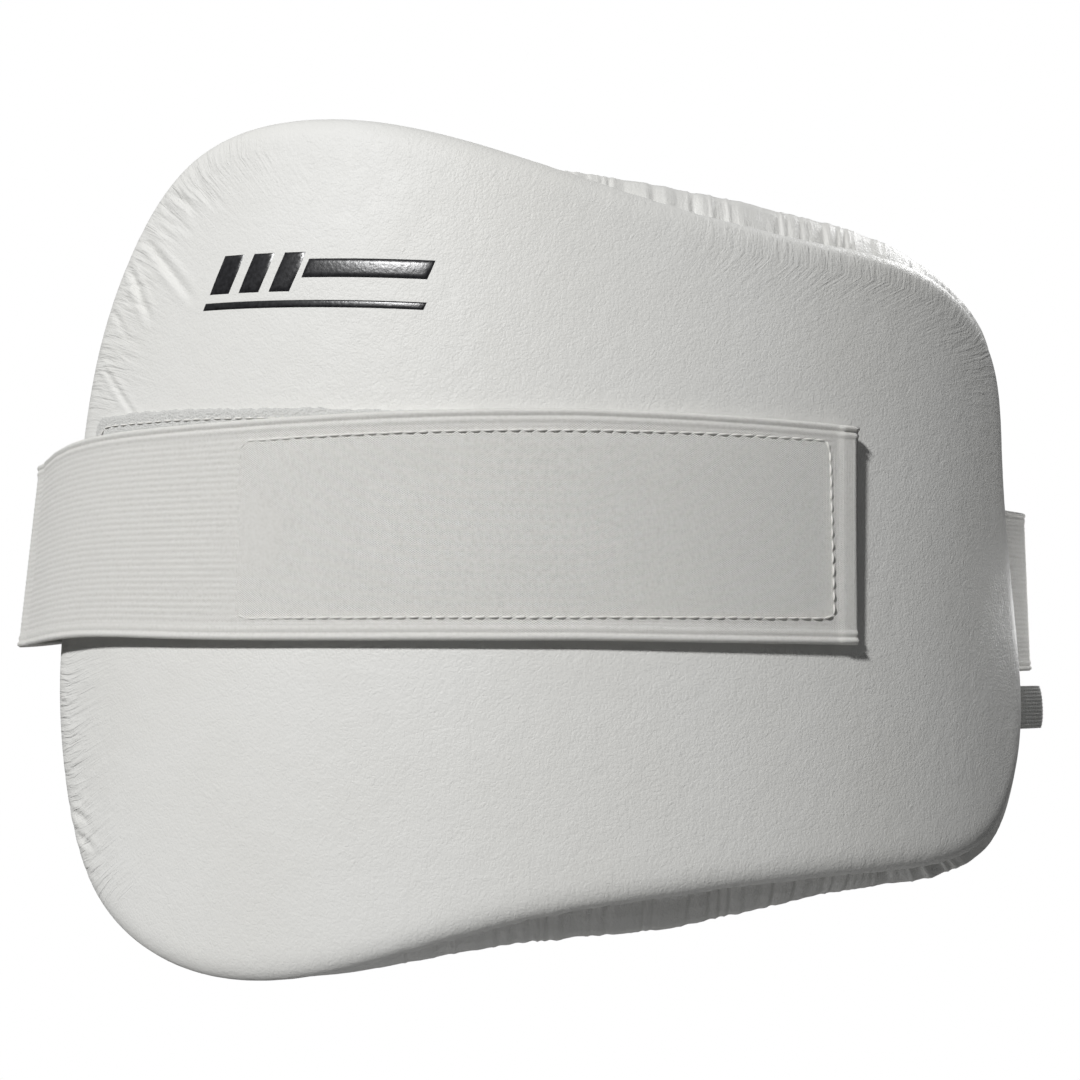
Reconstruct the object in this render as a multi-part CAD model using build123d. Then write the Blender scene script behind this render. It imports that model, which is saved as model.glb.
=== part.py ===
from build123d import *
import math
import os

os.makedirs("parts", exist_ok=True)

# A cricket chest guard: a curved moulded pad and one wide elastic strap with hook-and-loop ends.
# Millimetres. X runs across the chest, Y from the struck face towards the wearer, Z up.
# The origin is the middle of the hollow back, where the pad rests on the chest.

# The pad is bowed about a vertical axis; a radius below is a distance from that axis.
back_radius = 192.0
front_radius = 220.0
bow_angle = 42.0  # past this angle, each way from the middle, the bow runs on straight
slab_radii = [192.0, 196.5, 201.0, 220.0]  # the side wall steps out to the rear rim in three slabs
front_round = 10.0
facing_thickness = 1.2
clearance = 0.2
seam_inset = 4.0  # how far the facing turns over onto the back
plate_inset = 20.0
plate_thickness = 2.0
comfort_foam_radius = 201.6

# Outlines of the struck face and of the rear rim, point for point, as X and Z.
face_outline = [
    (-72, 124), (-17, 111), (33, 95), (86, 88), (128, 84), (151, 68), (157, 28),
    (161, -30), (159, -70), (145, -92), (98, -99), (38, -101), (-16, -110), (-66, -125),
    (-104, -127), (-138, -112), (-157, -76), (-162, -42), (-157, 10), (-149, 60), (-134, 93),
    (-108, 119),
]
rim_outline = [
    (-72, 125), (-17, 115), (33, 108), (86, 104), (135, 100), (168, 84), (170, 35),
    (177, -28), (179, -68), (165, -100), (98, -108), (38, -114), (-16, -119), (-66, -130),
    (-105, -130), (-141, -114), (-160, -77), (-165, -42), (-160, 10), (-152, 61), (-136, 95),
    (-109, 120),
]

# The strap: one length of elastic, sewn to the right of the back, folded at each side of the pad.
strap_width = 63.0
strap_thickness = 1.6
strap_radius = 223.5  # where its middle lies over the struck face
strap_leaves_at = 44.0  # angle where it leaves the face for the left fold
strap_to_fold = 30.0
strap_end_x = 92.0
strap_hem = 6.0
hem_thickness = 1.0
rear_corner = (-171.0, 92.0)
rear_corner_round = 6.0
root_z = -12.0  # the strap leaves the back this far below its height on the face
root_start_x = 124.0
root_to_fold = 98.0  # from where the bow turns straight to the right fold
fold_gap = 1.4
root_fold_gap = 3.0

# Patches on the face and under the strap: lowest and highest X, lowest and highest Z.
loop_patch_area = (-146.0, 83.0, -23.0, 32.0)
loop_patch_tilt = 4.0  # degrees, its right end the lower
hook_patch_area = (-88.0, 85.0, -27.5, 27.5)
anchor_patch_area = (119.0, 161.0, root_z - 36.0, root_z + 36.0)
patch_thickness = 1.1
patch_corner = 3.0

# Stitches, as short bars lying on the cloth.
stitch_pitch = 3.6
seam_pitch = 6.0
stitch_gap = 0.9
stitch_width = 0.6
stitch_height = 0.25
stitch_lift = 0.05

# The size label, a ribbon folded in two and sewn into the right of the rim.
label_root = (182.5, 96.5)
label_angle = 25.0
label_length = 12.0
label_height = 16.0
label_z = -57.0
ribbon_thickness = 0.6
ribbon_spread = 2.4

# Slabs and prisms run this far, which is past the pad on every side.
half_height = 150.0
reach = 140.0


def bow_point(radius, angle):
    """The point of the bow at an angle from the middle, seen from above."""
    turn = math.radians(angle)
    return (radius * math.sin(turn), back_radius - radius * math.cos(turn))


def step(start, angle, distance):
    """The point a distance away from start, at an angle from X, seen from above."""
    turn = math.radians(angle)
    return (start[0] + distance * math.cos(turn), start[1] + distance * math.sin(turn))


def bow_curve(radius):
    """The bow's three stretches at one radius: straight, round, straight."""
    left, right = bow_point(radius, -bow_angle), bow_point(radius, bow_angle)
    left_end, right_end = step(left, 180 - bow_angle, reach), step(right, bow_angle, reach)
    middle = (0, back_radius - radius)
    return left_end, right_end, [
        Line(left_end, left), ThreePointArc(left, middle, right), Line(right, right_end)
    ]


def bowed_slab(inner, outer):
    """Everything between two radii of the bow."""
    inner_left, inner_right, inner_edges = bow_curve(inner)
    outer_left, outer_right, outer_edges = bow_curve(outer)
    ends = [Line(inner_left, outer_left), Line(inner_right, outer_right)]
    return extrude(make_face(inner_edges + outer_edges + ends), amount=half_height, both=True)


def upright_prism(flat):
    """A flat XZ shape carried right through the pad along Y."""
    return extrude(flat, amount=reach, both=True)


def drawn_in(points, inset):
    """Clockwise points moved inwards, square to the line between each one's neighbours."""
    moved = []
    for before, (x, z), after in zip(points[-1:] + points[:-1], points, points[1:] + points[:1]):
        run_x, run_z = after[0] - before[0], after[1] - before[1]
        length = math.hypot(run_x, run_z)
        moved.append((x + inset * run_z / length, z - inset * run_x / length))
    return moved


def outline_face(level, inset=0.0):
    """The pad's outline drawn in by inset; level 0 is the rear rim and level 1 the struck face."""
    points = [
        (rim[0] + level * (face[0] - rim[0]), rim[1] + level * (face[1] - rim[1]))
        for rim, face in zip(rim_outline, face_outline)
    ]
    return make_face(Plane.XZ * Spline(drawn_in(points, inset), periodic=True))


def pad_block(low, high, inset=0.0, rounding=0.0):
    """The pad between two radii, drawn in by inset, with its front edge rounded."""
    block = None
    for index, slab_low in enumerate(slab_radii[:-1]):
        start = low if index == 0 else max(low, slab_low - inset)
        end = min(high, slab_radii[index + 1] - inset)
        if end <= start:
            continue
        outline = outline_face(index / (len(slab_radii) - 2), inset)
        slab = bowed_slab(start, end) & upright_prism(outline)
        if rounding and end == high:
            front = slab.faces().sort_by(Axis.Y)[0]
            slab = fillet(front_loop(slab, high), rounding)
        block = slab if block is None else block + slab
    return block


def front_loop(slab, radius):
    """The edges around a slab's front."""
    def on_front(edge):
        middle = edge @ 0.5
        place = bow_place(middle.X, middle.Z, radius).position
        return (middle - place).length < 0.05
    return slab.edges().filter_by(on_front)


def bow_place(x, z, radius):
    """A place on the bow at x and z, turned so that its own X lies along the bow."""
    edge_x, edge_y = bow_point(radius, bow_angle)
    if abs(x) <= edge_x:
        turn = math.degrees(math.asin(x / radius))
        y = back_radius - math.sqrt(radius**2 - x**2)
    else:
        turn = math.copysign(bow_angle, x)
        y = edge_y + (abs(x) - edge_x) * math.tan(math.radians(bow_angle))
    return Pos(x, y, z) * Rot(0, 0, turn)


def patch_outline(area, inset=0.0, tilt=0.0):
    """A rectangle with round corners, drawn in by inset and tilted about its middle."""
    low_x, high_x, low_z, high_z = area
    width, height = high_x - low_x - 2 * inset, high_z - low_z - 2 * inset
    middle = Pos((low_x + high_x) / 2, 0, (low_z + high_z) / 2)
    return middle * Rot(0, tilt, 0) * (Plane.XZ * RectangleRounded(width, height, patch_corner))


def bowed_patch(area, inner, tilt=0.0):
    """A flat patch laid on the bow, its underside at the inner radius."""
    return bowed_slab(inner, inner + patch_thickness) & upright_prism(patch_outline(area, 0, tilt))


def stitch_row(path, radius, pitch):
    """Stitches along a wire drawn in XZ, lying on the bow at a radius."""
    count = round(path.length / pitch)
    stitches = []
    for index in range(count):
        spot = path @ ((index + 0.5) / count)
        along = path % ((index + 0.5) / count)
        place = bow_place(spot.X, spot.Z, radius)
        lean = math.degrees(math.atan2(along.Z, along.X))
        bar = Box(path.length / count - stitch_gap, stitch_height, stitch_width)
        stitches.append(place * Rot(0, -lean, 0) * bar)
    return Compound(children=[bar.solid() for bar in stitches])


def webbing(edges):
    """A length of the strap, standing on edge along a line drawn from above."""
    return extrude(trace(edges, line_width=strap_thickness), amount=strap_width / 2, both=True)


def save(name, shape):
    export_step(shape, "parts/" + name + ".step")


# The folds that the strap turns about, seen from above.
strap_leaves = bow_point(strap_radius, -strap_leaves_at)
left_fold = step(strap_leaves, 180 - strap_leaves_at, strap_to_fold)
root_radius = back_radius - patch_thickness - strap_thickness / 2 - 2 * clearance
right_fold = step(bow_point(root_radius, bow_angle), bow_angle, root_to_fold)


def make_front_facing():
    outer = pad_block(back_radius, front_radius, rounding=front_round)
    skin = facing_thickness
    hollow = pad_block(back_radius + skin, front_radius - skin, skin, front_round - skin)
    mouth_outline = upright_prism(outline_face(0, seam_inset))
    mouth = bowed_slab(back_radius - 1, back_radius + skin + 0.1) & mouth_outline
    return outer - hollow - mouth


def make_back_lining():
    outline = upright_prism(outline_face(0, seam_inset + clearance))
    return bowed_slab(back_radius, back_radius + facing_thickness) & outline


def make_comfort_foam():
    start = back_radius + facing_thickness + clearance
    return pad_block(start, comfort_foam_radius, facing_thickness + clearance)


def make_impact_foam():
    inset = facing_thickness + clearance
    start = comfort_foam_radius + clearance
    foam = pad_block(start, front_radius - inset, inset, front_round - inset)
    pocket_outline = upright_prism(outline_face(1, plate_inset - clearance))
    pocket = bowed_slab(start - 1, start + plate_thickness + 2 * clearance) & pocket_outline
    return foam - pocket


def make_impact_plate():
    start = comfort_foam_radius + 2 * clearance
    plate_outline = upright_prism(outline_face(1, plate_inset))
    return bowed_slab(start, start + plate_thickness) & plate_outline


def make_rim_stitching():
    seam = outline_face(0, seam_inset + 2.0).wire()
    return stitch_row(seam, back_radius - stitch_lift - stitch_height / 2, seam_pitch)


def make_face_mark():
    """A plain mark: three slanted bars, a long bar and a line under them."""
    slant = 4.0
    shapes = []
    for low_x, width, low_z, height in (
        (-34, 6, -2, 11), (-24, 6, -2, 11), (-14, 6, -2, 11), (-4, 37, 2, 5), (-36, 69, -7, 2)
    ):
        shift = slant * height / 11
        corners = [(low_x, low_z), (low_x + width, low_z),
                   (low_x + width + shift, low_z + height), (low_x + shift, low_z + height)]
        shapes.append(make_face(Plane.XZ * Polyline(*corners, close=True)))
    place = Pos(-65, 0, 71) * Rot(0, 5.5, 0)
    film = bowed_slab(front_radius + stitch_lift, front_radius + stitch_lift + 0.3)
    bars = [film & upright_prism(place * shape) for shape in shapes]
    return Compound(children=[bar.solid() for bar in bars])


def make_patch_stitching(area, inset, radius, tilt=0.0):
    return stitch_row(patch_outline(area, inset, tilt).wire(), radius, stitch_pitch)


def make_strap_root():
    start = bow_place(root_start_x, 0, root_radius).position
    turn = bow_point(root_radius, bow_angle)
    end = step(right_fold, bow_angle, -root_fold_gap)
    return Pos(0, 0, root_z) * webbing([Line((start.X, start.Y), turn), Line(turn, end)])


def make_strap_rear_run():
    toward_fold = math.degrees(
        math.atan2(rear_corner[1] - left_fold[1], rear_corner[0] - left_fold[0])
    )
    along = math.degrees(
        math.atan2(rear_corner[1] - right_fold[1], rear_corner[0] - right_fold[0])
    )
    start = step(right_fold, along, root_fold_gap)
    end = step(left_fold, toward_fold, fold_gap)
    path = FilletPolyline(start, rear_corner, end, radius=rear_corner_round)
    rise = math.degrees(math.atan2(-root_z, right_fold[0] - left_fold[0]))
    lean = Pos(right_fold[0], 0, root_z) * Rot(0, rise, 0) * Pos(-right_fold[0], 0, 0)
    return lean * webbing(path.edges())


def make_strap_front_run():
    start = step(left_fold, -strap_leaves_at, fold_gap)
    middle = (0, back_radius - strap_radius)
    end_angle = math.degrees(math.asin(strap_end_x / strap_radius))
    end = bow_point(strap_radius, end_angle)
    run = webbing([Line(start, strap_leaves), ThreePointArc(strap_leaves, middle, end)])
    under = strap_radius - strap_thickness / 2
    hem_outline = Pos(strap_end_x - strap_hem / 2, 0) * Plane.XZ * Rectangle(strap_hem, strap_width)
    hem = bowed_slab(under - hem_thickness, under + 0.1) & upright_prism(hem_outline)
    return run + hem


def make_hook_patch():
    under_strap = strap_radius - strap_thickness / 2 - stitch_lift
    return bowed_patch(hook_patch_area, under_strap - patch_thickness)


def make_size_label():
    out = ribbon_spread / 2
    near, far = 0.6, label_length - out
    loop = [
        Line((near, -out), (far, -out)),
        ThreePointArc((far, -out), (far + out, 0), (far, out)),
        Line((far, out), (near, out)),
    ]
    ribbon = extrude(trace(loop, line_width=ribbon_thickness), amount=label_height / 2, both=True)
    return Pos(*label_root, label_z) * Rot(0, 0, label_angle) * ribbon


loop_patch_radius = front_radius + stitch_lift
above_loop_patch = loop_patch_radius + patch_thickness + stitch_lift + stitch_height / 2
above_strap = strap_radius + strap_thickness / 2 + stitch_lift + stitch_height / 2
behind_root = root_radius - strap_thickness / 2 - stitch_lift - stitch_height / 2
strap_half = strap_width / 2
root_seam_area = (root_start_x + 1, root_start_x + 42, root_z - strap_half, root_z + strap_half)

save("front_facing", make_front_facing())
save("back_lining", make_back_lining())
save("comfort_foam", make_comfort_foam())
save("impact_foam", make_impact_foam())
save("impact_plate", make_impact_plate())
save("rim_stitching", make_rim_stitching())
save("face_mark", make_face_mark())
save("loop_patch", bowed_patch(loop_patch_area, loop_patch_radius, loop_patch_tilt))
loop_seam = make_patch_stitching(loop_patch_area, 3.0, above_loop_patch, loop_patch_tilt)
save("loop_patch_stitching", loop_seam)
save("anchor_patch", bowed_patch(anchor_patch_area, back_radius - patch_thickness - clearance))
save("strap_root", make_strap_root())
save("strap_root_stitching", make_patch_stitching(root_seam_area, 3.0, behind_root))
save("strap_rear_run", make_strap_rear_run())
save("strap_front_run", make_strap_front_run())
save("hook_patch", make_hook_patch())
save("hook_patch_stitching", make_patch_stitching(hook_patch_area, 2.2, above_strap))
save("size_label", make_size_label())
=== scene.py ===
import math

import bpy
import numpy as np
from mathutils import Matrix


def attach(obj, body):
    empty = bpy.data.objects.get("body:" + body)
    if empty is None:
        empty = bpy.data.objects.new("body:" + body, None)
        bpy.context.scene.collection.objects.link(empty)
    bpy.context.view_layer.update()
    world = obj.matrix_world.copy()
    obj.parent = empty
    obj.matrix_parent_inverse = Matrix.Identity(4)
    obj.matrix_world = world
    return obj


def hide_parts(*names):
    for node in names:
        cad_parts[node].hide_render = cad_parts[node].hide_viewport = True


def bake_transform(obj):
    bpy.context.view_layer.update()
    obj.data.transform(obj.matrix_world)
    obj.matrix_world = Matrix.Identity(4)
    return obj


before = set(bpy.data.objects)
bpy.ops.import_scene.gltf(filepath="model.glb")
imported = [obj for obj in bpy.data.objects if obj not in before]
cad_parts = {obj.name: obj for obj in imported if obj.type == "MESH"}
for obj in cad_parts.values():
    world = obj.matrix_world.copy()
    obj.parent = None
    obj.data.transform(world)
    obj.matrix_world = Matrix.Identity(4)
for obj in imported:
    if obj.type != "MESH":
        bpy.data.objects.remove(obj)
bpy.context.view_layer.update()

MM = 0.001

# The pad's bow and outlines, in millimetres, as in the CAD model.
back_radius = 192.0
front_radius = 220.0
bow_angle = math.radians(42.0)
face_outline = [
    (-72, 124), (-17, 111), (33, 95), (86, 88), (128, 84), (151, 68), (157, 28),
    (161, -30), (159, -70), (145, -92), (98, -99), (38, -101), (-16, -110), (-66, -125),
    (-104, -127), (-138, -112), (-157, -76), (-162, -42), (-157, 10), (-149, 60), (-134, 93),
    (-108, 119),
]
rim_outline = [
    (-72, 125), (-17, 115), (33, 108), (86, 104), (135, 100), (168, 84), (170, 35),
    (177, -28), (179, -68), (165, -100), (98, -108), (38, -114), (-16, -119), (-66, -130),
    (-105, -130), (-141, -114), (-160, -77), (-165, -42), (-160, 10), (-152, 61), (-136, 95),
    (-109, 120),
]
edge_round = 11.0
side_edge_round = 7.8
rim_roll = 2.6
seam_inset = 5.0

# The strap, as in the CAD model.
strap_width = 63.0
strap_thickness = 1.6
strap_radius = 223.5
strap_leaves_at = math.radians(44.0)
strap_to_fold = 30.0
strap_end_x = 92.0
rear_corner = np.array([-171.0, 92.0])
root_z = -12.0
root_start_x = 124.0
root_radius = 189.7
root_to_fold = 98.0
rib_pitch = 1.8
stitch_pitch = 3.6

loop_patch_area = (-146.0, 83.0, -23.0, 32.0)
loop_patch_tilt = math.radians(4.0)
hook_patch_area = (-88.0, 85.0, -27.5, 27.5)
random = np.random.default_rng(7)


# Curves and places

def closed_curve(points):
    """The smooth closed curve through the points, as closely spaced places along it."""
    p = np.array(points, float)
    count = len(p)
    gap = np.linalg.norm(np.roll(p, -1, 0) - p, axis=1)
    before = np.roll(gap, 1)
    system = np.zeros((count, count))
    pull = np.zeros((count, 2))
    for i in range(count):
        h, last = (i - 1) % count, (i + 1) % count
        system[i, h] += before[i]
        system[i, i] += 2 * (before[i] + gap[i])
        system[i, last] += gap[i]
        pull[i] = 6 * ((p[last] - p[i]) / gap[i] - (p[i] - p[h]) / before[i])
    bend = np.linalg.solve(system, pull)
    t = np.linspace(0, 1, 200, endpoint=False)[None, :, None]
    later_p, later_bend, g = np.roll(p, -1, 0)[:, None], np.roll(bend, -1, 0)[:, None], gap[:, None, None]
    dense = (p[:, None] * (1 - t) + later_p * t
             + g**2 / 6 * (bend[:, None] * ((1 - t)**3 - (1 - t)) + later_bend * (t**3 - t)))
    return dense.reshape(-1, 2)


def even(dense, count):
    """The dense closed curve again, as count places an equal distance apart."""
    loop = np.vstack([dense, dense[:1]])
    length = np.concatenate([[0], np.cumsum(np.linalg.norm(np.diff(loop, axis=0), axis=1))])
    at = np.linspace(0, length[-1], count, endpoint=False)
    return np.column_stack([np.interp(at, length, loop[:, axis]) for axis in (0, 1)]), at


def on_bow(x, z, radius):
    """Places on the pad's bow, in metres, for x and z in millimetres at a radius."""
    x, z, radius = np.broadcast_arrays(np.asarray(x, float), z, radius)
    turn_x = radius * math.sin(bow_angle)
    inside = np.minimum(np.abs(x), turn_x)
    y = back_radius - np.sqrt(radius**2 - inside**2)
    y = y + np.maximum(np.abs(x) - turn_x, 0) * math.tan(bow_angle)
    return np.stack([x, y, z], axis=-1) * MM


def wave(at, pitch, seed, length=None):
    """Smooth random values from -1 to 1 along a line, one new value each pitch."""
    count = int(length / pitch) if length else 4096
    values = np.random.default_rng(seed).uniform(-1, 1, count)
    place = np.asarray(at) / (length / count if length else pitch)
    cell = np.floor(place).astype(int)
    blend = place - cell
    blend = blend * blend * (3 - 2 * blend)
    return values[cell % count] * (1 - blend) + values[(cell + 1) % count] * blend


def bump_between(at, low, high, soft):
    """1 between low and high, fading to 0 over soft outside them."""
    rise = np.clip((at - low) / soft + 1, 0, 1)
    fall = np.clip((high - at) / soft + 1, 0, 1)
    edge = np.minimum(rise, fall)
    return edge * edge * (3 - 2 * edge)


# Meshes

def grid_mesh(name, points, around=False, uv=None, cap=False):
    """A quad mesh from rows of points; around joins each row's ends, cap closes the first row."""
    rows, columns = points.shape[:2]
    index = np.arange(rows * columns).reshape(rows, columns)
    right = np.roll(index, -1, axis=1) if around else index[:, 1:]
    left = index if around else index[:, :-1]
    quads = np.stack([left[:-1], right[:-1], right[1:], left[1:]], axis=-1).reshape(-1, 4)
    faces = quads.tolist()
    if cap:
        faces.append(index[0][::-1].tolist())
    mesh = bpy.data.meshes.new(name)
    mesh.from_pydata(points.reshape(-1, 3).tolist(), [], faces)
    mesh.polygons.foreach_set("use_smooth", [True] * len(mesh.polygons))
    if uv is not None:
        layer = mesh.uv_layers.new(name="cloth")
        corners = np.zeros(len(mesh.loops), int)
        mesh.loops.foreach_get("vertex_index", corners)
        layer.data.foreach_set("uv", uv.reshape(-1, 2)[corners].ravel())
    mesh.update()
    piece = bpy.data.objects.new(name, mesh)
    bpy.context.scene.collection.objects.link(piece)
    return piece


def join_meshes(name, parts):
    """One object from a list of (points, faces)."""
    points, faces, start = [], [], 0
    for part_points, part_faces in parts:
        points.extend(part_points)
        faces.extend([[corner + start for corner in face] for face in part_faces])
        start += len(part_points)
    mesh = bpy.data.meshes.new(name)
    mesh.from_pydata([tuple(p) for p in points], [], faces)
    mesh.polygons.foreach_set("use_smooth", [True] * len(mesh.polygons))
    mesh.update()
    piece = bpy.data.objects.new(name, mesh)
    bpy.context.scene.collection.objects.link(piece)
    return piece


# Materials

def new_material(name, colour, roughness):
    """A material with its node tree, shader and object coordinates."""
    material = bpy.data.materials.new(name)
    material.use_nodes = True
    nodes = material.node_tree.nodes
    shader = nodes["Principled BSDF"]
    shader.inputs["Base Color"].default_value = (*colour, 1)
    shader.inputs["Roughness"].default_value = roughness
    place = nodes.new("ShaderNodeTexCoord")
    return material, nodes, material.node_tree.links, shader, place


def noise_node(nodes, links, vector, scale, detail=3.0, roughness=0.55):
    """The value of a noise of a scale, in cells per metre."""
    node = nodes.new("ShaderNodeTexNoise")
    node.inputs["Scale"].default_value = scale
    node.inputs["Detail"].default_value = detail
    node.inputs["Roughness"].default_value = roughness
    links.new(vector, node.inputs["Vector"])
    return node.outputs["Fac"]


def colour_ramp(nodes, links, value, stops):
    """A ramp from (place, colour) stops."""
    node = nodes.new("ShaderNodeValToRGB")
    ramp = node.color_ramp
    for element, (place, colour) in zip(ramp.elements, (stops[0], stops[-1])):
        element.position, element.color = place, (*colour, 1)
    for place, colour in stops[1:-1]:
        ramp.elements.new(place).color = (*colour, 1)
    links.new(value, node.inputs["Fac"])
    return node.outputs["Color"]


def bump_node(nodes, links, height, distance, strength=1.0, under=None):
    """The normal that a height gives, over the normal under it."""
    node = nodes.new("ShaderNodeBump")
    node.inputs["Distance"].default_value = distance
    node.inputs["Strength"].default_value = strength
    links.new(height, node.inputs["Height"])
    if under is not None:
        links.new(under, node.inputs["Normal"])
    return node.outputs["Normal"]


def math_node(nodes, links, kind, first, second=None):
    """A sum on one or two values, each a number or a socket."""
    node = nodes.new("ShaderNodeMath")
    node.operation = kind
    for socket, value in zip(node.inputs, (first, second)):
        if value is None:
            continue
        if isinstance(value, (int, float)):
            socket.default_value = value
        else:
            links.new(value, socket)
    return node.outputs["Value"]


def edge_wrinkles(nodes, links, place, under):
    """Fine wrinkles running in from the facing's edge, as strong as its wrinkle attribute says."""
    spread = nodes.new("ShaderNodeMapping")
    spread.inputs["Scale"].default_value = (0.62, 0.62, 0.085)
    margin = nodes.new("ShaderNodeAttribute")
    margin.attribute_name = "margin"
    links.new(margin.outputs["Vector"], spread.inputs["Vector"])
    streaks = nodes.new("ShaderNodeTexNoise")
    streaks.inputs["Scale"].default_value = 1
    streaks.inputs["Detail"].default_value = 3
    streaks.inputs["Distortion"].default_value = 0.7
    links.new(spread.outputs["Vector"], streaks.inputs["Vector"])
    strength = nodes.new("ShaderNodeAttribute")
    strength.attribute_name = "wrinkle"
    patchy = noise_node(nodes, links, place.outputs["Object"], 45, 2)
    patchy = math_node(nodes, links, "MULTIPLY", patchy, strength.outputs["Fac"])
    height = math_node(nodes, links, "MULTIPLY", streaks.outputs["Fac"], patchy)
    return bump_node(nodes, links, height, 0.0021, 0.9, under)


def leather_material():
    """White polyurethane leather: a pebbled grain under a thin satin film."""
    material, nodes, links, shader, place = new_material("white_leather", (0.8, 0.8, 0.77), 0.5)
    at = place.outputs["Object"]
    cells = nodes.new("ShaderNodeTexVoronoi")
    cells.feature = "DISTANCE_TO_EDGE"
    cells.inputs["Scale"].default_value = 760
    links.new(at, cells.inputs["Vector"])
    pebble = math_node(nodes, links, "MINIMUM", cells.outputs["Distance"], 0.25)
    fine = noise_node(nodes, links, at, 1500, 3)
    broad = noise_node(nodes, links, at, 140, 4)
    normal = bump_node(nodes, links, pebble, 0.00022, 0.55)
    normal = bump_node(nodes, links, fine, 0.00016, 0.5, normal)
    normal = bump_node(nodes, links, broad, 0.0006, 0.35, normal)
    flow = nodes.new("ShaderNodeTexNoise")
    flow.inputs["Scale"].default_value = 330
    flow.inputs["Detail"].default_value = 4
    flow.inputs["Roughness"].default_value = 0.62
    flow.inputs["Distortion"].default_value = 1.4
    links.new(at, flow.inputs["Vector"])
    normal = bump_node(nodes, links, flow.outputs["Fac"], 0.0005, 0.35, normal)
    links.new(edge_wrinkles(nodes, links, place, normal), shader.inputs["Normal"])
    cloud = noise_node(nodes, links, at, 14, 3)
    tint = colour_ramp(nodes, links, cloud, [(0.3, (0.80, 0.795, 0.765)), (0.7, (0.84, 0.838, 0.815))])
    links.new(tint, shader.inputs["Base Color"])
    gloss = nodes.new("ShaderNodeMapRange")
    gloss.inputs["To Min"].default_value = 0.42
    gloss.inputs["To Max"].default_value = 0.58
    links.new(broad, gloss.inputs["Value"])
    links.new(gloss.outputs["Result"], shader.inputs["Roughness"])
    shader.inputs["Specular IOR Level"].default_value = 0.35
    return material


def webbing_material():
    """White knitted elastic: fine ribs along it, and close rows of knit across it, their valleys darkened
    with painted shade.
    """
    material, nodes, links, shader, place = new_material("white_elastic", (0.72, 0.71, 0.67), 0.85)
    split = nodes.new("ShaderNodeSeparateXYZ")
    links.new(place.outputs["UV"], split.inputs["Vector"])
    along, across = split.outputs["X"], split.outputs["Y"]
    sewn = nodes.new("ShaderNodeAttribute")
    sewn.attribute_name = "sewn"
    turn = 2 * math.pi
    rows = math_node(nodes, links, "SINE", math_node(nodes, links, "MULTIPLY", along, turn / 0.9))
    cords = math_node(nodes, links, "SINE", math_node(nodes, links, "MULTIPLY", across, turn / 0.6))
    knit = math_node(nodes, links, "MULTIPLY", rows, cords)
    ribs = math_node(nodes, links, "COSINE",
                     math_node(nodes, links, "MULTIPLY", across, turn / rib_pitch))
    wales = math_node(nodes, links, "MULTIPLY", rows, sewn.outputs["Fac"])
    fuzz = noise_node(nodes, links, place.outputs["Object"], 1700, 3, 0.7)
    normal = bump_node(nodes, links, knit, 0.00015, 0.8)
    normal = bump_node(nodes, links, wales, 0.00005, 0.5, normal)
    normal = bump_node(nodes, links, fuzz, 0.00035, 0.7, normal)
    links.new(normal, shader.inputs["Normal"])
    # Painted shade: the valleys of the ribs and of the knit are painted darker, a random patchy tone is
    # added, and the ramp turns this into colour.
    plain = math_node(nodes, links, "SUBTRACT", 1.0, sewn.outputs["Fac"])
    painted_rib_shade = math_node(nodes, links, "MULTIPLY", ribs, math_node(nodes, links, "MULTIPLY", plain, 0.09))
    shade = math_node(nodes, links, "ADD", painted_rib_shade, math_node(nodes, links, "MULTIPLY", knit, 0.14))
    patchy = noise_node(nodes, links, place.outputs["Object"], 1300, 2)
    shade = math_node(nodes, links, "ADD", shade, patchy)
    tint = colour_ramp(nodes, links, shade,
                       [(0.25, (0.82, 0.81, 0.77)), (0.5, (0.91, 0.90, 0.86)), (0.8, (0.95, 0.94, 0.91))])
    links.new(tint, shader.inputs["Base Color"])
    shader.inputs["Sheen Weight"].default_value = 0.25
    shader.inputs["Sheen Roughness"].default_value = 0.5
    return material


def cloth_material(name, dark, light, roughness, scale, depth):
    """A fibrous cloth: a cellular knit under a fine fuzz."""
    material, nodes, links, shader, place = new_material(name, light, roughness)
    at = place.outputs["Object"]
    cells = nodes.new("ShaderNodeTexVoronoi")
    cells.inputs["Scale"].default_value = scale
    links.new(at, cells.inputs["Vector"])
    fuzz = noise_node(nodes, links, at, scale * 1.7, 4, 0.7)
    normal = bump_node(nodes, links, cells.outputs["Distance"], depth, 0.8)
    normal = bump_node(nodes, links, fuzz, depth * 0.7, 0.7, normal)
    links.new(normal, shader.inputs["Normal"])
    tint = colour_ramp(nodes, links, fuzz, [(0.3, dark), (0.7, light)])
    links.new(tint, shader.inputs["Base Color"])
    shader.inputs["Sheen Weight"].default_value = 0.3
    shader.inputs["Sheen Roughness"].default_value = 0.45
    return material


def grained_material(name, dark, light, roughness, scale, depth):
    """A solid with a fine moulded or printed grain."""
    material, nodes, links, shader, place = new_material(name, light, roughness)
    grain = noise_node(nodes, links, place.outputs["Object"], scale, 4)
    links.new(bump_node(nodes, links, grain, depth, 0.6), shader.inputs["Normal"])
    tint = colour_ramp(nodes, links, grain, [(0.3, dark), (0.7, light)])
    links.new(tint, shader.inputs["Base Color"])
    return material


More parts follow.
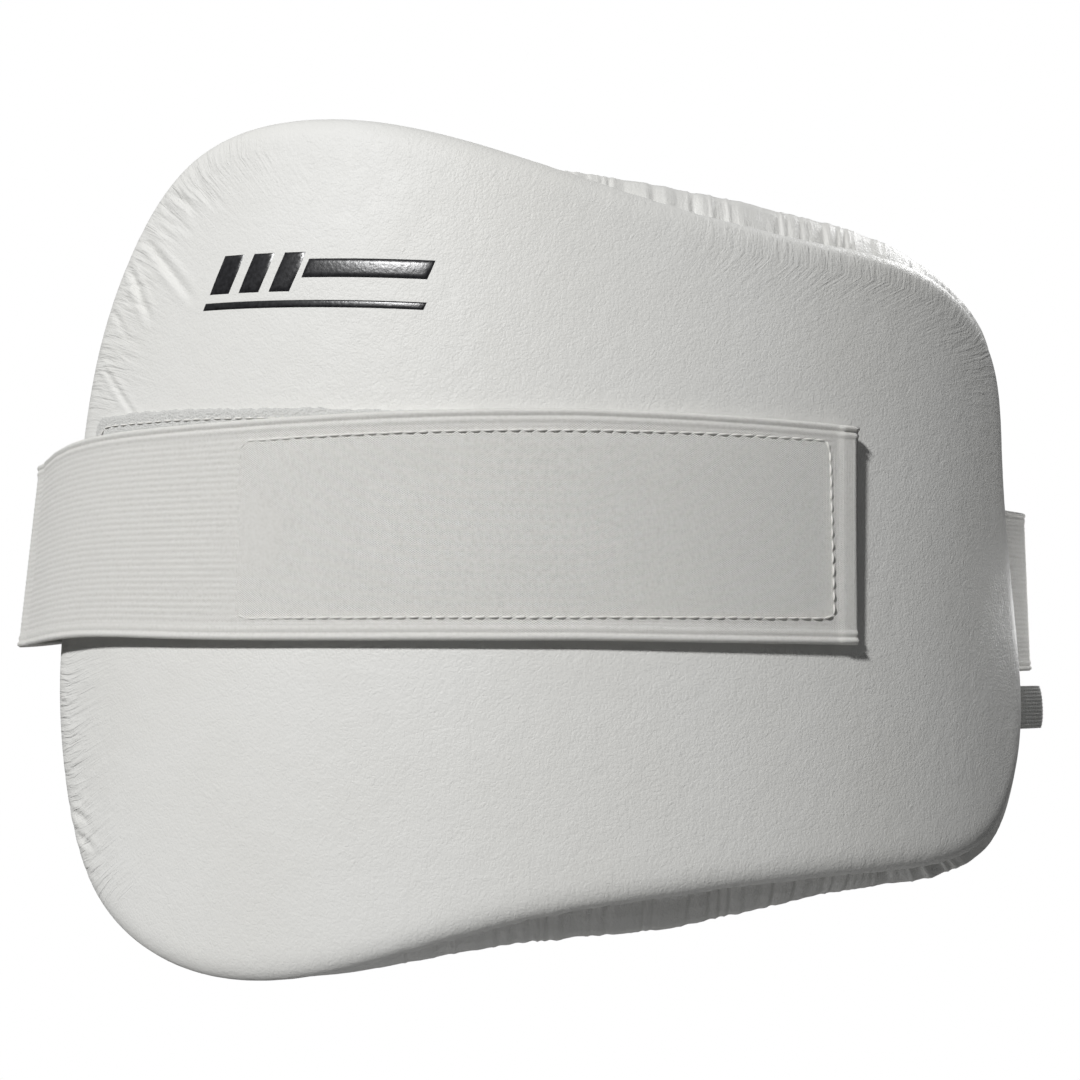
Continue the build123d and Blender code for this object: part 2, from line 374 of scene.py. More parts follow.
leather = leather_material()
elastic = webbing_material()
lining_cloth = cloth_material("charcoal_knit", (0.012, 0.012, 0.014), (0.05, 0.05, 0.056), 0.9, 900, 0.0003)
fleece = cloth_material("loop_fleece", (0.66, 0.66, 0.64), (0.80, 0.80, 0.78), 0.95, 1500, 0.0005)
hooks = cloth_material("hook_tape", (0.55, 0.55, 0.53), (0.80, 0.80, 0.78), 0.5, 620, 0.0008)
sewing_thread = grained_material("sewing_thread", (0.80, 0.79, 0.75), (0.90, 0.89, 0.86), 0.6, 2600, 0.0001)
ink = grained_material("black_ink", (0.008, 0.008, 0.009), (0.03, 0.03, 0.033), 0.28, 900, 0.0001)
ribbon_cloth = cloth_material("label_ribbon", (0.60, 0.60, 0.58), (0.82, 0.82, 0.80), 0.7, 2200, 0.0002)
soft_foam = cloth_material("soft_foam", (0.55, 0.52, 0.44), (0.78, 0.75, 0.66), 0.95, 700, 0.0006)
firm_foam = cloth_material("firm_foam", (0.09, 0.095, 0.10), (0.18, 0.19, 0.20), 0.9, 500, 0.0004)
plate_plastic = grained_material("plate_plastic", (0.55, 0.55, 0.53), (0.68, 0.68, 0.66), 0.4, 300, 0.0001)


def dress(piece, material, body=None, replaces=()):
    """Gives a piece its material, its body and the CAD nodes it stands for."""
    piece.data.materials.append(material)
    if replaces:
        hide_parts(*replaces)
    if body:
        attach(piece, body)
    return piece


def dress_node(node, material):
    """Gives a CAD node its material."""
    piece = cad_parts[node]
    if not piece.material_slots:
        piece.data.materials.append(material)
    for place in piece.material_slots:
        place.material = material


# The facing

columns = 1400
face_dense = closed_curve(face_outline)
rim_dense = closed_curve(rim_outline)
face_edge, along = even(face_dense, columns)


def matching_rim():
    """The rim's places, each beside the face's place with the same column."""
    loop = np.vstack([face_dense, face_dense[:1]])
    length = np.concatenate([[0], np.cumsum(np.linalg.norm(np.diff(loop, axis=0), axis=1))])
    order = np.interp(along, length, np.arange(len(length)))
    rim = np.vstack([rim_dense, rim_dense[:1]])
    return np.column_stack([np.interp(order, np.arange(len(rim)), rim[:, axis]) for axis in (0, 1)])


def outward(loop):
    """The outward direction at each place of a clockwise loop."""
    run = np.roll(loop, -3, 0) - np.roll(loop, 3, 0)
    run /= np.linalg.norm(run, axis=1)[:, None]
    return np.column_stack([-run[:, 1], run[:, 0]])


rim_edge = matching_rim()
perimeter = float(np.linalg.norm(np.roll(face_edge, -1, 0) - face_edge, axis=1).sum())
face_out = outward(face_edge)


def along_at(x, z):
    """How far round the outline the place nearest to x and z is."""
    return along[np.argmin(np.hypot(face_edge[:, 0] - x, face_edge[:, 1] - z))]


# The rim stands out a little further down the right side.
fuller = 2.0 * bump_between(along, along_at(157, 10), along_at(158, -60), 28)
rim_edge = rim_edge + outward(rim_edge) * fuller[:, None]
rim_out = outward(rim_edge)


# Creases pressed into the leather: from, to, depth and width, in millimetres.
creases = [
    ((-129, 100), (-106, 72), 0.85, 1.3),
    ((-134, 92), (-122, 68), 0.80, 1.2),
    ((-120, 112), (-104, 98), 0.35, 1.0),
    ((-142, 80), (-131, 64), 0.30, 1.0),
    ((-157, -84), (-141, -88), 0.80, 1.1),
    ((-154, -90), (-138, -96), 0.90, 1.2),
    ((-151, -97), (-141, -98), 0.60, 0.9),
    ((-146, -104), (-136, -103), 0.50, 0.9),
    ((-160, -74), (-150, -76), 0.45, 0.9),
]


def add_fans():
    """Fine wrinkles square to the edge, and slanting ones above the patch's corner."""
    for (low_x, low_z), (high_x, high_z), count, reach, depth in (
        ((-150, 62), (-136, 95), 13, 17, 0.22), ((-136, 95), (-108, 118), 15, 20, 0.26),
        ((-108, 118), (-80, 123), 8, 9, 0.12), ((-158, -76), (-142, -108), 12, 12, 0.28),
        ((-162, -60), (-158, -76), 6, 9, 0.15),
    ):
        low, high = sorted((along_at(low_x, low_z), along_at(high_x, high_z)))
        for at in np.linspace(low, high, count) + random.uniform(-1.2, 1.2, count):
            spot = int(at / perimeter * columns) % columns
            start = face_edge[spot] - face_out[spot] * random.uniform(0, 3)
            lean = random.uniform(-0.35, 0.35)
            inward = -face_out[spot] + lean * np.array([-face_out[spot][1], face_out[spot][0]])
            end = start + inward * reach * random.uniform(0.5, 1.2)
            creases.append((tuple(start), tuple(end), depth * random.uniform(0.5, 1.3), 0.9))
    for step in range(13):
        x, z = -147 + 1.5 * step, 66 - 1.9 * step
        creases.append(((x - 3, z), (x + 15, z - 20), random.uniform(0.03, 0.10), 0.8))


def crease_depth(x, z):
    """How deep the creases are pressed at each place."""
    depth = np.zeros_like(x)
    for (x1, z1), (x2, z2), deep, wide in creases:
        run_x, run_z = x2 - x1, z2 - z1
        share = ((x - x1) * run_x + (z - z1) * run_z) / (run_x**2 + run_z**2)
        share = np.clip(share, 0, 1)
        away = np.hypot(x - x1 - share * run_x, z - z1 - share * run_z)
        fade = np.sin(math.pi * np.clip(share, 0.02, 0.98)) ** 0.6
        groove = np.exp(-((away / wide) ** 2)) - 0.45 * np.exp(-(((away - 2 * wide) / wide) ** 2))
        depth += deep * fade * groove
    return depth


def make_facing():
    """The moulded face, its rounded edge, the flared side wall and the roll onto the back."""
    rings = []
    # The edge is rounded less at the left and right, where the bow opens its corner and foam fills it.
    rounding = edge_round - (edge_round - side_edge_round) * face_out[:, :1] ** 2
    inner = face_edge - face_out * rounding
    centre = np.array([-10.0, 0.0])
    for share in 1 - (1 - np.linspace(0.02, 1, 95)) ** 1.35:
        rings.append((centre + (inner - centre) * share, np.full(columns, front_radius)))
    for turn in np.radians(np.linspace(5, 82, 15)):
        over, down = math.sin(turn) ** 0.67, 1 - math.cos(turn) ** 0.67
        rings.append((inner + face_out * rounding * over, front_radius - rounding[:, 0] * down))
    wall_top = rings[-1][0]
    wall_radius = rings[-1][1]
    low_radius = back_radius + rim_roll * 1.6
    shoulder = rim_edge - rim_out * 0.2
    for share in np.linspace(0, 1, 34)[1:]:
        flare = np.interp(share, [0, 0.46, 0.56, 0.70, 0.88, 1], [0, 0.02, 0.12, 0.50, 0.86, 1])
        rings.append((wall_top + (shoulder - wall_top) * flare + face_out * 0.25 * math.sin(math.pi * share),
                      wall_radius + (low_radius - wall_radius) * share))
    for turn in np.radians(np.linspace(34, 150, 9)):
        rings.append((rim_edge - rim_out * rim_roll * (1 - math.sin(turn)),
                      np.full(columns, back_radius + rim_roll * 0.8 * (1 + math.cos(turn)))))
    for inset in (3.4, 4.4, seam_inset, seam_inset + 0.5):
        rings.append((rim_edge - rim_out * inset, np.full(columns, back_radius + 0.15)))
    flat = np.array([ring[0] for ring in rings])
    radius = np.array([ring[1] for ring in rings])

    # Creases in the face, and gathers in the side wall where the leather is drawn over the rim.
    face_rings = 95 + 15
    add_fans()
    shallow = np.clip((face_rings - 4 - np.arange(face_rings)) / 14, 0.25, 1)[:, None]
    radius[:face_rings] -= shallow * crease_depth(flat[:face_rings, :, 0], flat[:face_rings, :, 1])
    ring_share = np.clip((np.arange(len(rings)) - 100) / (len(rings) - 112), 0, 1)[:, None]
    gathers = gather_strength()[None, :]
    shift = 2.5 * wave(along, 22, 5, perimeter)[None, :] * ring_share
    fine = wave(along[None, :] + shift, 2.5, 11, perimeter)
    coarse = wave(along[None, :] - shift, 7.3, 12, perimeter)
    fold = 1.0 - np.abs(fine) * 1.1 - np.maximum(coarse, 0) * 0.8
    push = fold * gathers * np.sin(math.pi * np.clip(ring_share, 0, 1) ** 1.6) ** 0.8
    flat += rim_out[None, :, :] * push[:, :, None]
    radius += 0.35 * push * (ring_share > 0.1)
    inset = np.linalg.norm(flat - face_edge[None], axis=2)
    piece = grid_mesh("facing", on_bow(flat[:, :, 0], flat[:, :, 1], radius), around=True, cap=True)
    # Places for the wrinkles: once round a circle as long as the outline, and in from the edge.
    turn = 2 * math.pi * along / perimeter
    circle = perimeter / (2 * math.pi)
    round_places = np.broadcast_arrays(circle * np.cos(turn), circle * np.sin(turn), inset)
    margin = piece.data.attributes.new("margin", "FLOAT_VECTOR", "POINT")
    margin.data.foreach_set("vector", np.stack(round_places, axis=-1).ravel().astype(np.float32))
    wrinkle = wrinkle_strength()[None, :] * np.exp(-((inset / 19) ** 2))
    mask = piece.data.attributes.new("wrinkle", "FLOAT", "POINT")
    mask.data.foreach_set("value", wrinkle.ravel().astype(np.float32))
    return piece


def gather_strength():
    """How strongly the side wall is gathered, round the outline."""
    top = bump_between(along, along_at(20, 98), along_at(120, 86), 35)
    right = bump_between(along, along_at(150, 68), along_at(160, 10), 25)
    bottom = bump_between(along, along_at(120, -98), along_at(-20, -110), 40)
    left = bump_between(along, along_at(-150, -95), along_at(-150, 60), 30)
    return 0.15 + 1.0 * top + 0.6 * right + 1.15 * bottom + 0.1 * left


def wrinkle_strength():
    """How strongly the face's margin is wrinkled, round the outline."""
    top_left = bump_between(along, along_at(-149, 60), along_at(-90, 123), 25)
    low_left = bump_between(along, along_at(-140, -110), along_at(-162, -50), 20)
    left = bump_between(along, along_at(-162, -50), along_at(-149, 60), 20)
    top_right = bump_between(along, along_at(60, 91), along_at(151, 68), 30)
    return 0.08 + 0.8 * top_left + 1.0 * low_left + 0.3 * left + 0.35 * top_right


facing = dress(make_facing(), leather, "pad", ["front_facing"])


# The lining, drawn in a little along its seam

def make_lining():
    """The hollow back's lining, dipping in beside its seam."""
    rings, radii = [], []
    for share in np.linspace(0.02, 1, 60):
        inset = seam_inset + 0.2
        edge = rim_edge - rim_out * inset
        centre = np.array([-10.0, 0.0])
        rings.append(centre + (edge - centre) * share)
        from_seam = (1 - share) * 130
        dip = 0.5 * math.exp(-from_seam / 4)
        slack = 0.12 * (1 + wave(along, 11, 31, perimeter)) * math.exp(-from_seam / 14)
        radii.append(back_radius + 0.1 + dip + slack)
    rings.append(rings[-1] + rim_out * 0.1)
    radii.append(np.full(columns, back_radius + 1.2))
    flat, radius = np.array(rings), np.array(radii)
    points = on_bow(flat[:, :, 0], flat[:, :, 1], radius)
    return grid_mesh("lining", points[:, ::-1], around=True, cap=True)


lining = dress(make_lining(), lining_cloth, "pad", ["back_lining"])


# Stitches: short threads, each with its ends pulled into the cloth

def stitch(middle, run, up, length, thick):
    """One stitch as a small tapered tube."""
    side = np.cross(run, up)
    points, faces = [], []
    rounds, spots = 8, 7
    for spot in range(spots):
        share = spot / (spots - 1)
        place = middle + run * length * (share - 0.5) + up * thick * 0.55 * math.sin(math.pi * share)
        size = thick * (0.35 + 0.65 * math.sin(math.pi * share) ** 0.5) / 2
        for corner in range(rounds):
            turn = 2 * math.pi * corner / rounds
            points.append(place + size * (side * math.cos(turn) + up * math.sin(turn)))
    for spot in range(spots - 1):
        for corner in range(rounds):
            after = (corner + 1) % rounds
            low, high = spot * rounds, (spot + 1) * rounds
            faces.append([low + corner, low + after, high + after, high + corner])
    faces.append(list(range(rounds))[::-1])
    faces.append([(spots - 1) * rounds + corner for corner in range(rounds)])
    return points, faces


def stitch_loop(name, loop, radius, pitch, thick=0.55, facing_out=True):
    """Stitches along a closed XZ line, lying on the bow at a radius."""
    dense = np.array(loop, float)
    total = float(np.linalg.norm(np.roll(dense, -1, 0) - dense, axis=1).sum())
    count = round(total / pitch)
    ends, _ = even(dense, count)
    parts = []
    for first, second in zip(ends, np.roll(ends, -1, 0)):
        a = on_bow(first[0], first[1], radius)
        b = on_bow(second[0], second[1], radius)
        run = (b - a) / np.linalg.norm(b - a)
        middle = (a + b) / 2
        outside = middle - np.array([0, back_radius * MM, middle[2]])
        up = outside / np.linalg.norm(outside) * (1 if facing_out else -1)
        up = up - run * float(up @ run)
        up /= np.linalg.norm(up)
        jitter = random.uniform(-0.06, 0.06) * MM
        parts.append(stitch(middle + np.cross(run, up) * jitter, run, up,
                            np.linalg.norm(b - a) * random.uniform(0.74, 0.82), thick * MM))
    return join_meshes(name, parts)


def rectangle_loop(area, inset, corner=2.5, tilt=0.0):
    """A rectangle with round corners, as an XZ line, drawn in by inset and tilted."""
    low_x, high_x, low_z, high_z = area
    low_x, high_x, low_z, high_z = low_x + inset, high_x - inset, low_z + inset, high_z - inset
    loop = []
    for x, z, start in ((high_x, high_z, 90), (high_x, low_z, 0), (low_x, low_z, -90), (low_x, high_z, 180)):
        middle_x = x - math.copysign(corner, x - (low_x + high_x) / 2)
        middle_z = z - math.copysign(corner, z - (low_z + high_z) / 2)
        for turn in np.radians(np.linspace(start, start - 90, 7)):
            loop.append((middle_x + corner * math.cos(turn), middle_z + corner * math.sin(turn)))
    middle = np.array([(low_x + high_x) / 2, (low_z + high_z) / 2])
    turned = np.array([[math.cos(tilt), math.sin(tilt)], [-math.sin(tilt), math.cos(tilt)]])
    return middle + (np.array(loop) - middle) @ turned.T


seam_line = rim_edge - rim_out * (seam_inset + 1.6)
dress(stitch_loop("rim_thread", seam_line, back_radius + 0.1, 4.2, 0.7, False),
      sewing_thread, "pad", ["rim_stitching"])


# The loop patch, a soft-edged fleece on the face

def make_loop_patch():
    """The patch, with a slightly ragged, rolled edge."""
    edge, _ = even(rectangle_loop(loop_patch_area, 0.0, 3.5, loop_patch_tilt), 700)
    out = outward(edge)
    at = np.arange(700) * 0.86
    ragged = 0.35 * wave(at, 1.3, 41) + 0.5 * wave(at, 17, 42)
    rows = []
    for inset, height in ((0, 0.05), (-0.15, 0.45), (0.1, 0.85), (0.8, 1.1), (2.0, 1.15)):
        ring = edge - out * (inset - ragged)[:, None]
        rows.append(on_bow(ring[:, 0], ring[:, 1], front_radius + height))
    # Past its edge the patch runs in to a line along its middle, so that its rings never cross.
    low_x, high_x, low_z, high_z = loop_patch_area
    middle = np.array([(low_x + high_x) / 2, (low_z + high_z) / 2])
    length_way = np.array([math.cos(loop_patch_tilt), -math.sin(loop_patch_tilt)])
    half_line = (high_x - low_x - (high_z - low_z)) / 2
    reach = np.clip((edge - middle) @ length_way, -half_line, half_line)
    on_line = middle + reach[:, None] * length_way
    inner = edge - out * 3.2
    for share in (1, 0.8, 0.6, 0.4, 0.2, 0):
        ring = on_line + (inner - on_line) * share
        rows.append(on_bow(ring[:, 0], ring[:, 1], front_radius + 1.05))
    return grid_mesh("fleece_patch", np.array(rows)[::-1], around=True)


dress(make_loop_patch(), fleece, "pad", ["loop_patch"])
loop_seam = rectangle_loop(loop_patch_area, 3.0, 2.5, loop_patch_tilt)
dress(stitch_loop("loop_patch_thread", loop_seam, front_radius + 1.1, stitch_pitch),
      sewing_thread, "pad", ["loop_patch_stitching"])


# The strap: one elastic webbing, in two lengths that meet behind the pad

def bow_point(radius, angle):
    """The point of the bow at an angle from the middle, seen from above."""
    return np.array([radius * math.sin(angle), back_radius - radius * math.cos(angle)])


def heading(angle):
    """The direction at an angle from X, seen from above."""
    return np.array([math.cos(angle), math.sin(angle)])


strap_leaves = bow_point(strap_radius, -strap_leaves_at)
left_fold = strap_leaves + strap_to_fold * heading(math.pi - strap_leaves_at)
root_turn = bow_point(root_radius, bow_angle)
right_fold = root_turn + root_to_fold * heading(bow_angle)
meeting = rear_corner + 0.5 * (right_fold - rear_corner)


def rounded_line(points, radii):
    """A line from above with its corners rounded, as even points about a millimetre apart."""
    line = [np.array(points[0])]
    for before, corner, after, radius in zip(points, points[1:-1], points[2:], radii):
        come = (before - corner) / np.linalg.norm(before - corner)
        go = (after - corner) / np.linalg.norm(after - corner)
        half = math.acos(np.clip(come @ go, -1, 1)) / 2
        setback = radius / math.tan(half)
        start, end = corner + come * setback, corner + go * setback
        middle = corner + (come + go) / np.linalg.norm(come + go) * radius / math.sin(half)
        for share in np.linspace(0, 1, 14):
            place = start + (end - start) * share - middle
            line.append(middle + place / np.linalg.norm(place) * radius)
    line.append(np.array(points[-1]))
    return resample(np.array(line), 1.0)


def resample(line, gap):
    """An open line again, as points about a gap apart."""
    length = np.concatenate([[0], np.cumsum(np.linalg.norm(np.diff(line, axis=0), axis=1))])
    at = np.linspace(0, length[-1], round(length[-1] / gap) + 1)
    return np.column_stack([np.interp(at, length, line[:, axis]) for axis in (0, 1)])


def webbing_section():
    """The webbing's cross-section: ribs along both faces and two round cords at each edge."""
    ribs = round(strap_width / rib_pitch)
    across = np.linspace(-strap_width / 2, strap_width / 2, ribs * 6 + 1)
    from_edge = strap_width / 2 - np.abs(across)
    rib = 0.06 * np.cos(2 * math.pi * across / rib_pitch) * (from_edge > 4.2)
    cord = 0.55 * np.abs(np.sin(math.pi * np.clip(from_edge, 0, 4.2) / 2.1)) * (from_edge < 4.2)
    cord[from_edge > 2.1] *= 0.55
    body = strap_thickness / 2 - 0.22 + cord
    body = body * np.clip(from_edge / 0.6, 0.12, 1) ** 0.5
    return across, body, rib


def cut_end(row, middle):
    """A webbing's last row again, drawn in to the middle of the thickness."""
    flat = row.copy()
    flat[:, :2] = middle * MM + (flat[:, :2] - middle * MM) * 0.3
    return flat[None]


def webbing_mesh(name, line, height, start_along, lean=None, thicken=None, sewn=None):
    """Webbing along a line seen from above; height gives its middle's z at each point."""
    across, body, rib = webbing_section()
    run = np.gradient(line, axis=0)
    run /= np.linalg.norm(run, axis=1)[:, None]
    normal = np.column_stack([run[:, 1], -run[:, 0]])
    travelled = start_along + np.concatenate([[0], np.cumsum(np.linalg.norm(np.diff(line, axis=0), axis=1))])
    section_z = np.concatenate([across, across[::-1]])
    sewn_share = np.zeros((len(line), len(section_z))) if sewn is None else sewn(line, section_z)
    side = np.where(np.arange(len(section_z)) < len(across), 1.0, -1.0)
    section_n = np.concatenate([body, body[::-1]])
    section_n = (section_n + np.concatenate([rib, rib[::-1]]) * (1 - 0.7 * sewn_share)) * side
    size = 1.0 if thicken is None else thicken[:, None]
    slack = 0.05 * wave(travelled, 23, 51)[:, None]
    out = section_n * size
    rise = height[:, None] + section_z[None, :] + slack
    shift = 0.0 if lean is None else lean[:, None] * section_z[None, :]
    x = line[:, 0:1] + normal[:, 0:1] * out + shift
    y = line[:, 1:2] + normal[:, 1:2] * out
    points = np.stack([x, y, rise], axis=-1) * MM
    uv = np.stack(np.broadcast_arrays(travelled[:, None], section_z[None, :]), axis=-1)
    points = np.concatenate([cut_end(points[0], line[0]), points, cut_end(points[-1], line[-1])])
    uv = np.concatenate([uv[:1], uv, uv[-1:]])
    piece = grid_mesh(name, points, around=True, uv=uv)
    mask = piece.data.attributes.new("sewn", "FLOAT", "POINT")
    values = np.zeros(points.shape[:2])
    values[1:-1] = sewn_share
    mask.data.foreach_set("value", values.ravel().astype(np.float32))
    return piece


def make_strap_back():
    """From its sewn root on the back, round the right fold and halfway across the back."""
    start = bow_point(root_radius, math.asin(root_start_x / root_radius))
    line = rounded_line([start, root_turn, right_fold, meeting], [60, 2.6])
    fold = np.argmin(np.linalg.norm(line - right_fold, axis=1))
    after = np.clip(np.arange(len(line)) - fold, 0, None)
    climb = -root_z / np.linalg.norm(right_fold - rear_corner)
    return webbing_mesh("strap_back", line, root_z + climb * after * 0.97, 0.0)


def make_strap_front():
    """From the middle of the back, round the left fold and across the face to its end."""
    arc = [bow_point(strap_radius, angle) for angle in
           np.linspace(-strap_leaves_at, math.asin((strap_end_x - 1.5) / strap_radius), 260)]
    bend = rounded_line([meeting, rear_corner, left_fold, strap_leaves], [9, 3.2])
    line = resample(np.vstack([bend, arc[1:]]), 1.0)
    lift = 2.6 * np.clip((-60 - line[:, 0]) / 90, 0, 1) ** 1.5 * (line[:, 1] < 45)
    away = line - np.array([0.0, back_radius])
    fold_fade = np.clip(np.linalg.norm(line - left_fold, axis=1) / 25, 0, 1)
    line = line + away / np.linalg.norm(away, axis=1)[:, None] * (lift * fold_fade)[:, None]
    from_fold = np.linalg.norm(line - left_fold, axis=1)
    fold = int(np.argmin(from_fold))
    steps = np.arange(len(line))
    climb = -root_z / np.linalg.norm(right_fold - rear_corner)
    corner = int(np.argmin(np.linalg.norm(line - rear_corner, axis=1)))
    height = np.where(steps < corner, climb * (steps - corner), 0.0)
    height = height + 1.2 * np.exp(-((steps - fold - 50) / 40.0) ** 2) * (steps > fold)
    height = height - 1.3 * np.clip((line[:, 0] - 10) / 82, 0, 1) * (steps > fold)
    height = height - 2.4 * np.exp(-((from_fold / 30) ** 2))
    lean = -0.07 * np.exp(-((from_fold / 28) ** 2))
    on_face = steps > fold
    lean = lean - 0.03 * on_face * np.clip((line[:, 0] - 30) / 60, 0, 1)
    hem = on_face * (line[:, 0] > strap_end_x - 7)
    thicken = 1.0 + 0.75 * hem

    def sewn(line, section_z):
        inside_x = on_face * (line[:, 0] > hook_patch_area[0] + 2.2) * (line[:, 0] < hook_patch_area[1] - 2.2)
        inside_z = np.abs(section_z) < 25.3
        at_hem = on_face * (line[:, 0] > hook_patch_area[1] - 2.2)
        return np.maximum(inside_x[:, None] * inside_z[None, :], at_hem[:, None])

    return webbing_mesh("strap_front", line, height, 250.0, -lean, thicken, sewn)


strap_back = dress(make_strap_back(), elastic, None, ["strap_root", "strap_rear_run"])
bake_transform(strap_back)
strap_front = dress(make_strap_front(), elastic, None, ["strap_front_run"])
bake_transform(strap_front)

over_strap = strap_radius + strap_thickness / 2 - 0.12
hook_seam = rectangle_loop(hook_patch_area, 2.2, 1.2)
dress(stitch_loop("hook_patch_thread", hook_seam, over_strap, stitch_pitch, 0.62),
      sewing_thread, "strap_front", ["hook_patch_stitching"])
root_area = (root_start_x + 1, root_start_x + 42, root_z - strap_width / 2, root_z + strap_width / 2)
dress(stitch_loop("strap_root_thread", rectangle_loop(root_area, 3.0, 1.2), root_radius - 0.85,
                  stitch_pitch, 0.6, False),
      sewing_thread, "pad", ["strap_root_stitching"])


# The plain mark on the face: slanted bars and a line, raised and inked

def mark_ring(layer, steps):
    """The corners round one layer of a bar, which has two rows of steps points."""
    low_row = [layer * 2 * steps + i for i in range(steps)]
    high_row = [layer * 2 * steps + 2 * steps - 1 - i for i in range(steps)]
    return low_row + high_row


def make_mark():
    """Three slanted bars, a long bar and a line under them."""
    turn = math.radians(-5.5)
    parts = []
    for low_x, width, low_z, height in (
        (-34, 6, -2, 11), (-24, 6, -2, 11), (-14, 6, -2, 11), (-4, 37, 2, 5), (-36, 69, -7, 2)
    ):
        shift = 4.0 * height / 11
        round_by = min(height, width) * 0.12
        steps = max(3, round(width / 1.5))
        points, faces = [], []
        layers = ((-round_by, -0.2), (0, 0.16), (round_by, 0.30), (round_by * 2, 0.34))
        for inset, lift in layers:
            for z_share in (0, 1):
                for x_share in np.linspace(0, 1, steps):
                    x = low_x + inset + (width - 2 * inset) * x_share + shift * z_share
                    z = low_z + inset + (height - 2 * inset) * z_share
                    across = -65 + x * math.cos(turn) - z * math.sin(turn)
                    up = 71 + x * math.sin(turn) + z * math.cos(turn)
                    points.append(on_bow(across, up, front_radius + lift))
        for layer in range(len(layers) - 1):
            low, high = mark_ring(layer, steps), mark_ring(layer + 1, steps)
            for i in range(len(low)):
                j = (i + 1) % len(low)
                faces.append([low[i], low[j], high[j], high[i]])
        top = (len(layers) - 1) * 2 * steps
        for i in range(steps - 1):
            faces.append([top + i, top + i + 1, top + steps + i + 1, top + steps + i])
        parts.append((points, faces))
    return join_meshes("pressed_mark", parts)


dress(make_mark(), ink, "pad", ["face_mark"])


# The size label: a ribbon loop with fine cross ribs

def make_label():
    """A ribbon folded in two, standing out of the rim at an angle, with its fold a little slack."""
    root, angle, far = np.array([182.5, 96.5]), math.radians(25.0), 10.8
    spread, half_height = 1.35, 8.0
    side_line = [(-6.0, -spread * 0.3), (-1.0, -spread * 0.5), (3.0, -spread), (far, -spread)]
    tip = [(far + spread * 1.1 * math.sin(turn), -spread * math.cos(turn))
           for turn in np.linspace(0.2, math.pi - 0.2, 9)]
    line = np.array(side_line + tip + [(x, -y) for x, y in side_line[::-1]])
    line = resample(line, 0.22)
    run = np.gradient(line, axis=0)
    run /= np.linalg.norm(run, axis=1)[:, None]
    normal = np.column_stack([run[:, 1], -run[:, 0]])
    across = np.linspace(-half_height, half_height, 120)
    rib = 0.07 * np.cos(2 * math.pi * across / 1.35)
    sag = 0.5 * np.sin(math.pi * (across / half_height + 1) / 2)
    section_z = np.concatenate([across, across[::-1]])
    section_n = np.concatenate([0.22 + rib, -(0.22 + rib[::-1])])
    swell = np.concatenate([sag, sag[::-1]])
    away = np.clip(line[:, 0:1] / far, 0, 1)
    lateral = line[:, 1:2] + np.sign(line[:, 1:2]) * swell[None, :] * away
    drawn_back = 0.8 * away * (section_z[None, :] / half_height) ** 4
    local_x = line[:, 0:1] + normal[:, 0:1] * section_n[None, :] - drawn_back
    local_y = lateral + normal[:, 1:2] * section_n[None, :]
    x = root[0] + local_x * math.cos(angle) - local_y * math.sin(angle)
    y = root[1] + local_x * math.sin(angle) + local_y * math.cos(angle)
    z = np.broadcast_to(-57.0 + section_z[None, :], x.shape)
    return grid_mesh("label_loop", np.stack([x, y, z], axis=-1) * MM, around=True)


label = dress(make_label(), ribbon_cloth, None, ["size_label"])
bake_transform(label)


# The CAD pieces that show as they are, and those inside

dress_node("hook_patch", hooks)
dress_node("anchor_patch", leather)
dress_node("impact_foam", firm_foam)
dress_node("comfort_foam", soft_foam)
dress_node("impact_plate", plate_plastic)


# Floor, light and camera

def make_floor(height, reach):
    """A plain pale floor: a round of it, well below the pad."""
    turn = np.linspace(0, 2 * math.pi, 96, endpoint=False)
    out = np.linspace(0.05, reach, 24)[:, None]
    points = np.stack([out * np.cos(turn), out * np.sin(turn), np.full((24, 96), height)], axis=-1)
    floor = grid_mesh("floor", points, around=True, cap=True)
    material, nodes, links, shader, place = new_material("pale_floor", (0.74, 0.74, 0.74), 0.8)
    speck = noise_node(nodes, links, place.outputs["Object"], 30, 2)
    tint = colour_ramp(nodes, links, speck, [(0.2, (0.73, 0.73, 0.73)), (0.8, (0.76, 0.76, 0.76))])
    links.new(tint, shader.inputs["Base Color"])
    floor.data.materials.append(material)


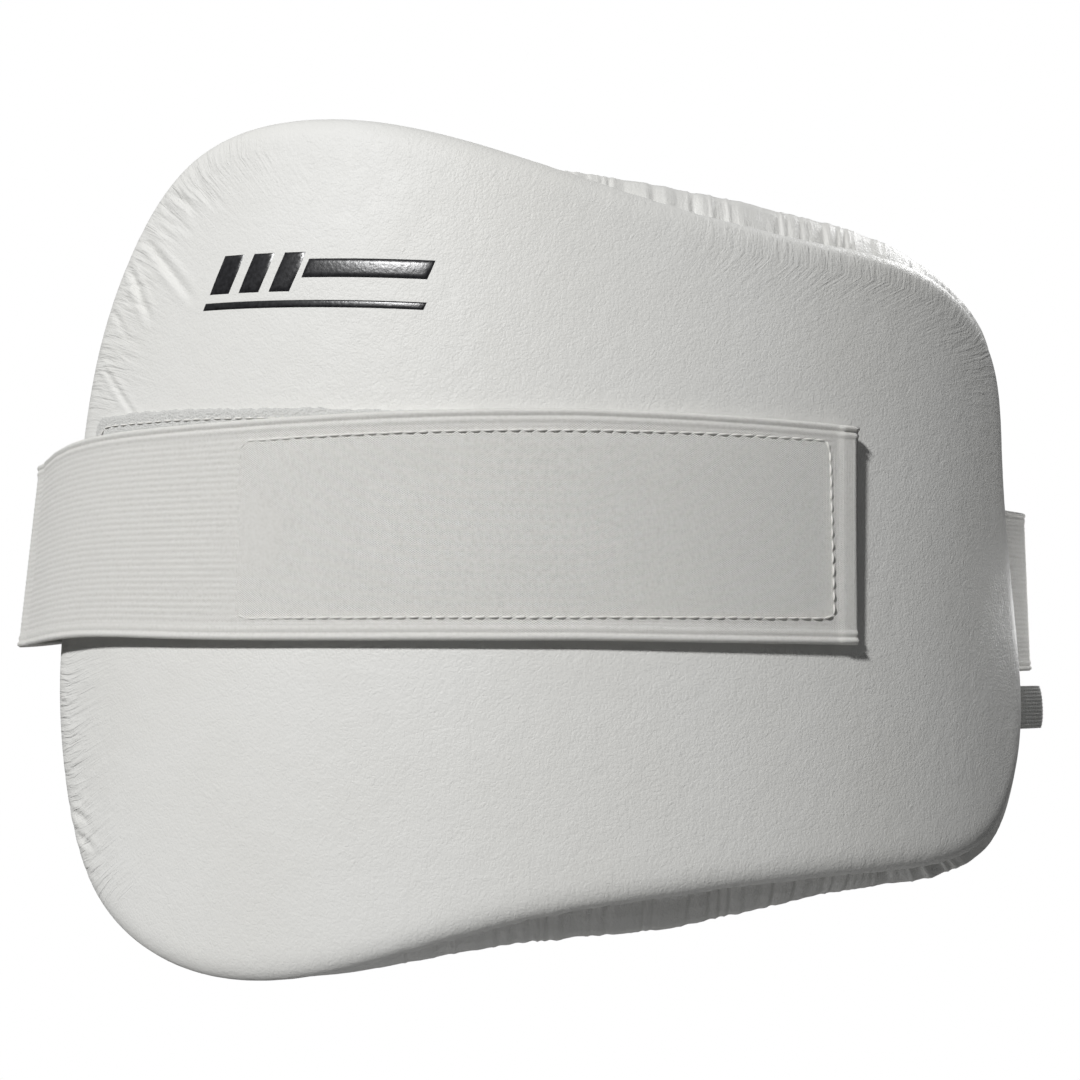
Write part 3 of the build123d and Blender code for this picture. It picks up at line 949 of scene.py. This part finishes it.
def add_light(name, place, aim, size, watts):
    """A round white lamp at a place, turned towards its aim."""
    lamp = bpy.data.lights.new(name, "AREA")
    lamp.shape, lamp.size, lamp.energy = "DISK", size, watts
    piece = bpy.data.objects.new(name, lamp)
    piece.location = place
    away = [a - b for a, b in zip(place, aim)]
    level = math.hypot(away[0], away[1])
    piece.rotation_euler = (math.atan2(level, away[2]), 0, math.atan2(away[0], -away[1]))
    piece.visible_camera = False
    bpy.context.scene.collection.objects.link(piece)


def make_world():
    """A white background, and a weak light that is stronger from above."""
    world = bpy.data.worlds.new("white_studio")
    bpy.context.scene.world = world
    world.use_nodes = True
    nodes, links = world.node_tree.nodes, world.node_tree.links
    seen, room = nodes["Background"], nodes.new("ShaderNodeBackground")
    seen.inputs["Color"].default_value = (1, 1, 1, 1)
    seen.inputs["Strength"].default_value = 1.0
    room.inputs["Color"].default_value = (0.97, 0.98, 1, 1)
    way = nodes.new("ShaderNodeTexCoord")
    split = nodes.new("ShaderNodeSeparateXYZ")
    links.new(way.outputs["Generated"], split.inputs["Vector"])
    level = nodes.new("ShaderNodeMapRange")
    level.inputs["From Min"].default_value = -0.4
    level.inputs["From Max"].default_value = 0.6
    level.inputs["To Min"].default_value = 0.01
    level.inputs["To Max"].default_value = 0.13
    links.new(split.outputs["Z"], level.inputs["Value"])
    links.new(level.outputs["Result"], room.inputs["Strength"])
    ray, mix = nodes.new("ShaderNodeLightPath"), nodes.new("ShaderNodeMixShader")
    links.new(ray.outputs["Is Camera Ray"], mix.inputs["Fac"])
    links.new(room.outputs["Background"], mix.inputs[1])
    links.new(seen.outputs["Background"], mix.inputs[2])
    links.new(mix.outputs["Shader"], nodes["World Output"].inputs["Surface"])


make_floor(-0.95, 0.85)
make_world()
add_light("key", (-1.08, -1.80, 1.15), (0, 0, 0), 0.24, 50)
add_light("back_right", (0.92, 0.78, 0.90), (0.1, 0.05, 0), 0.3, 7)
add_light("rim_right", (0.27, 0.13, -0.02), (0.18, 0.09, -0.02), 0.03, 0.055)

camera_data = bpy.data.cameras.new("camera")
camera_data.sensor_width = 36
camera_data.lens = 36.1
camera = bpy.data.objects.new("camera", camera_data)
camera.location = (0.0, -0.322, -0.0315)
camera.rotation_euler = (math.radians(95.3), 0, 0)
bpy.context.scene.collection.objects.link(camera)
bpy.context.scene.camera = camera
bpy.context.scene.view_settings.view_transform = "Standard"
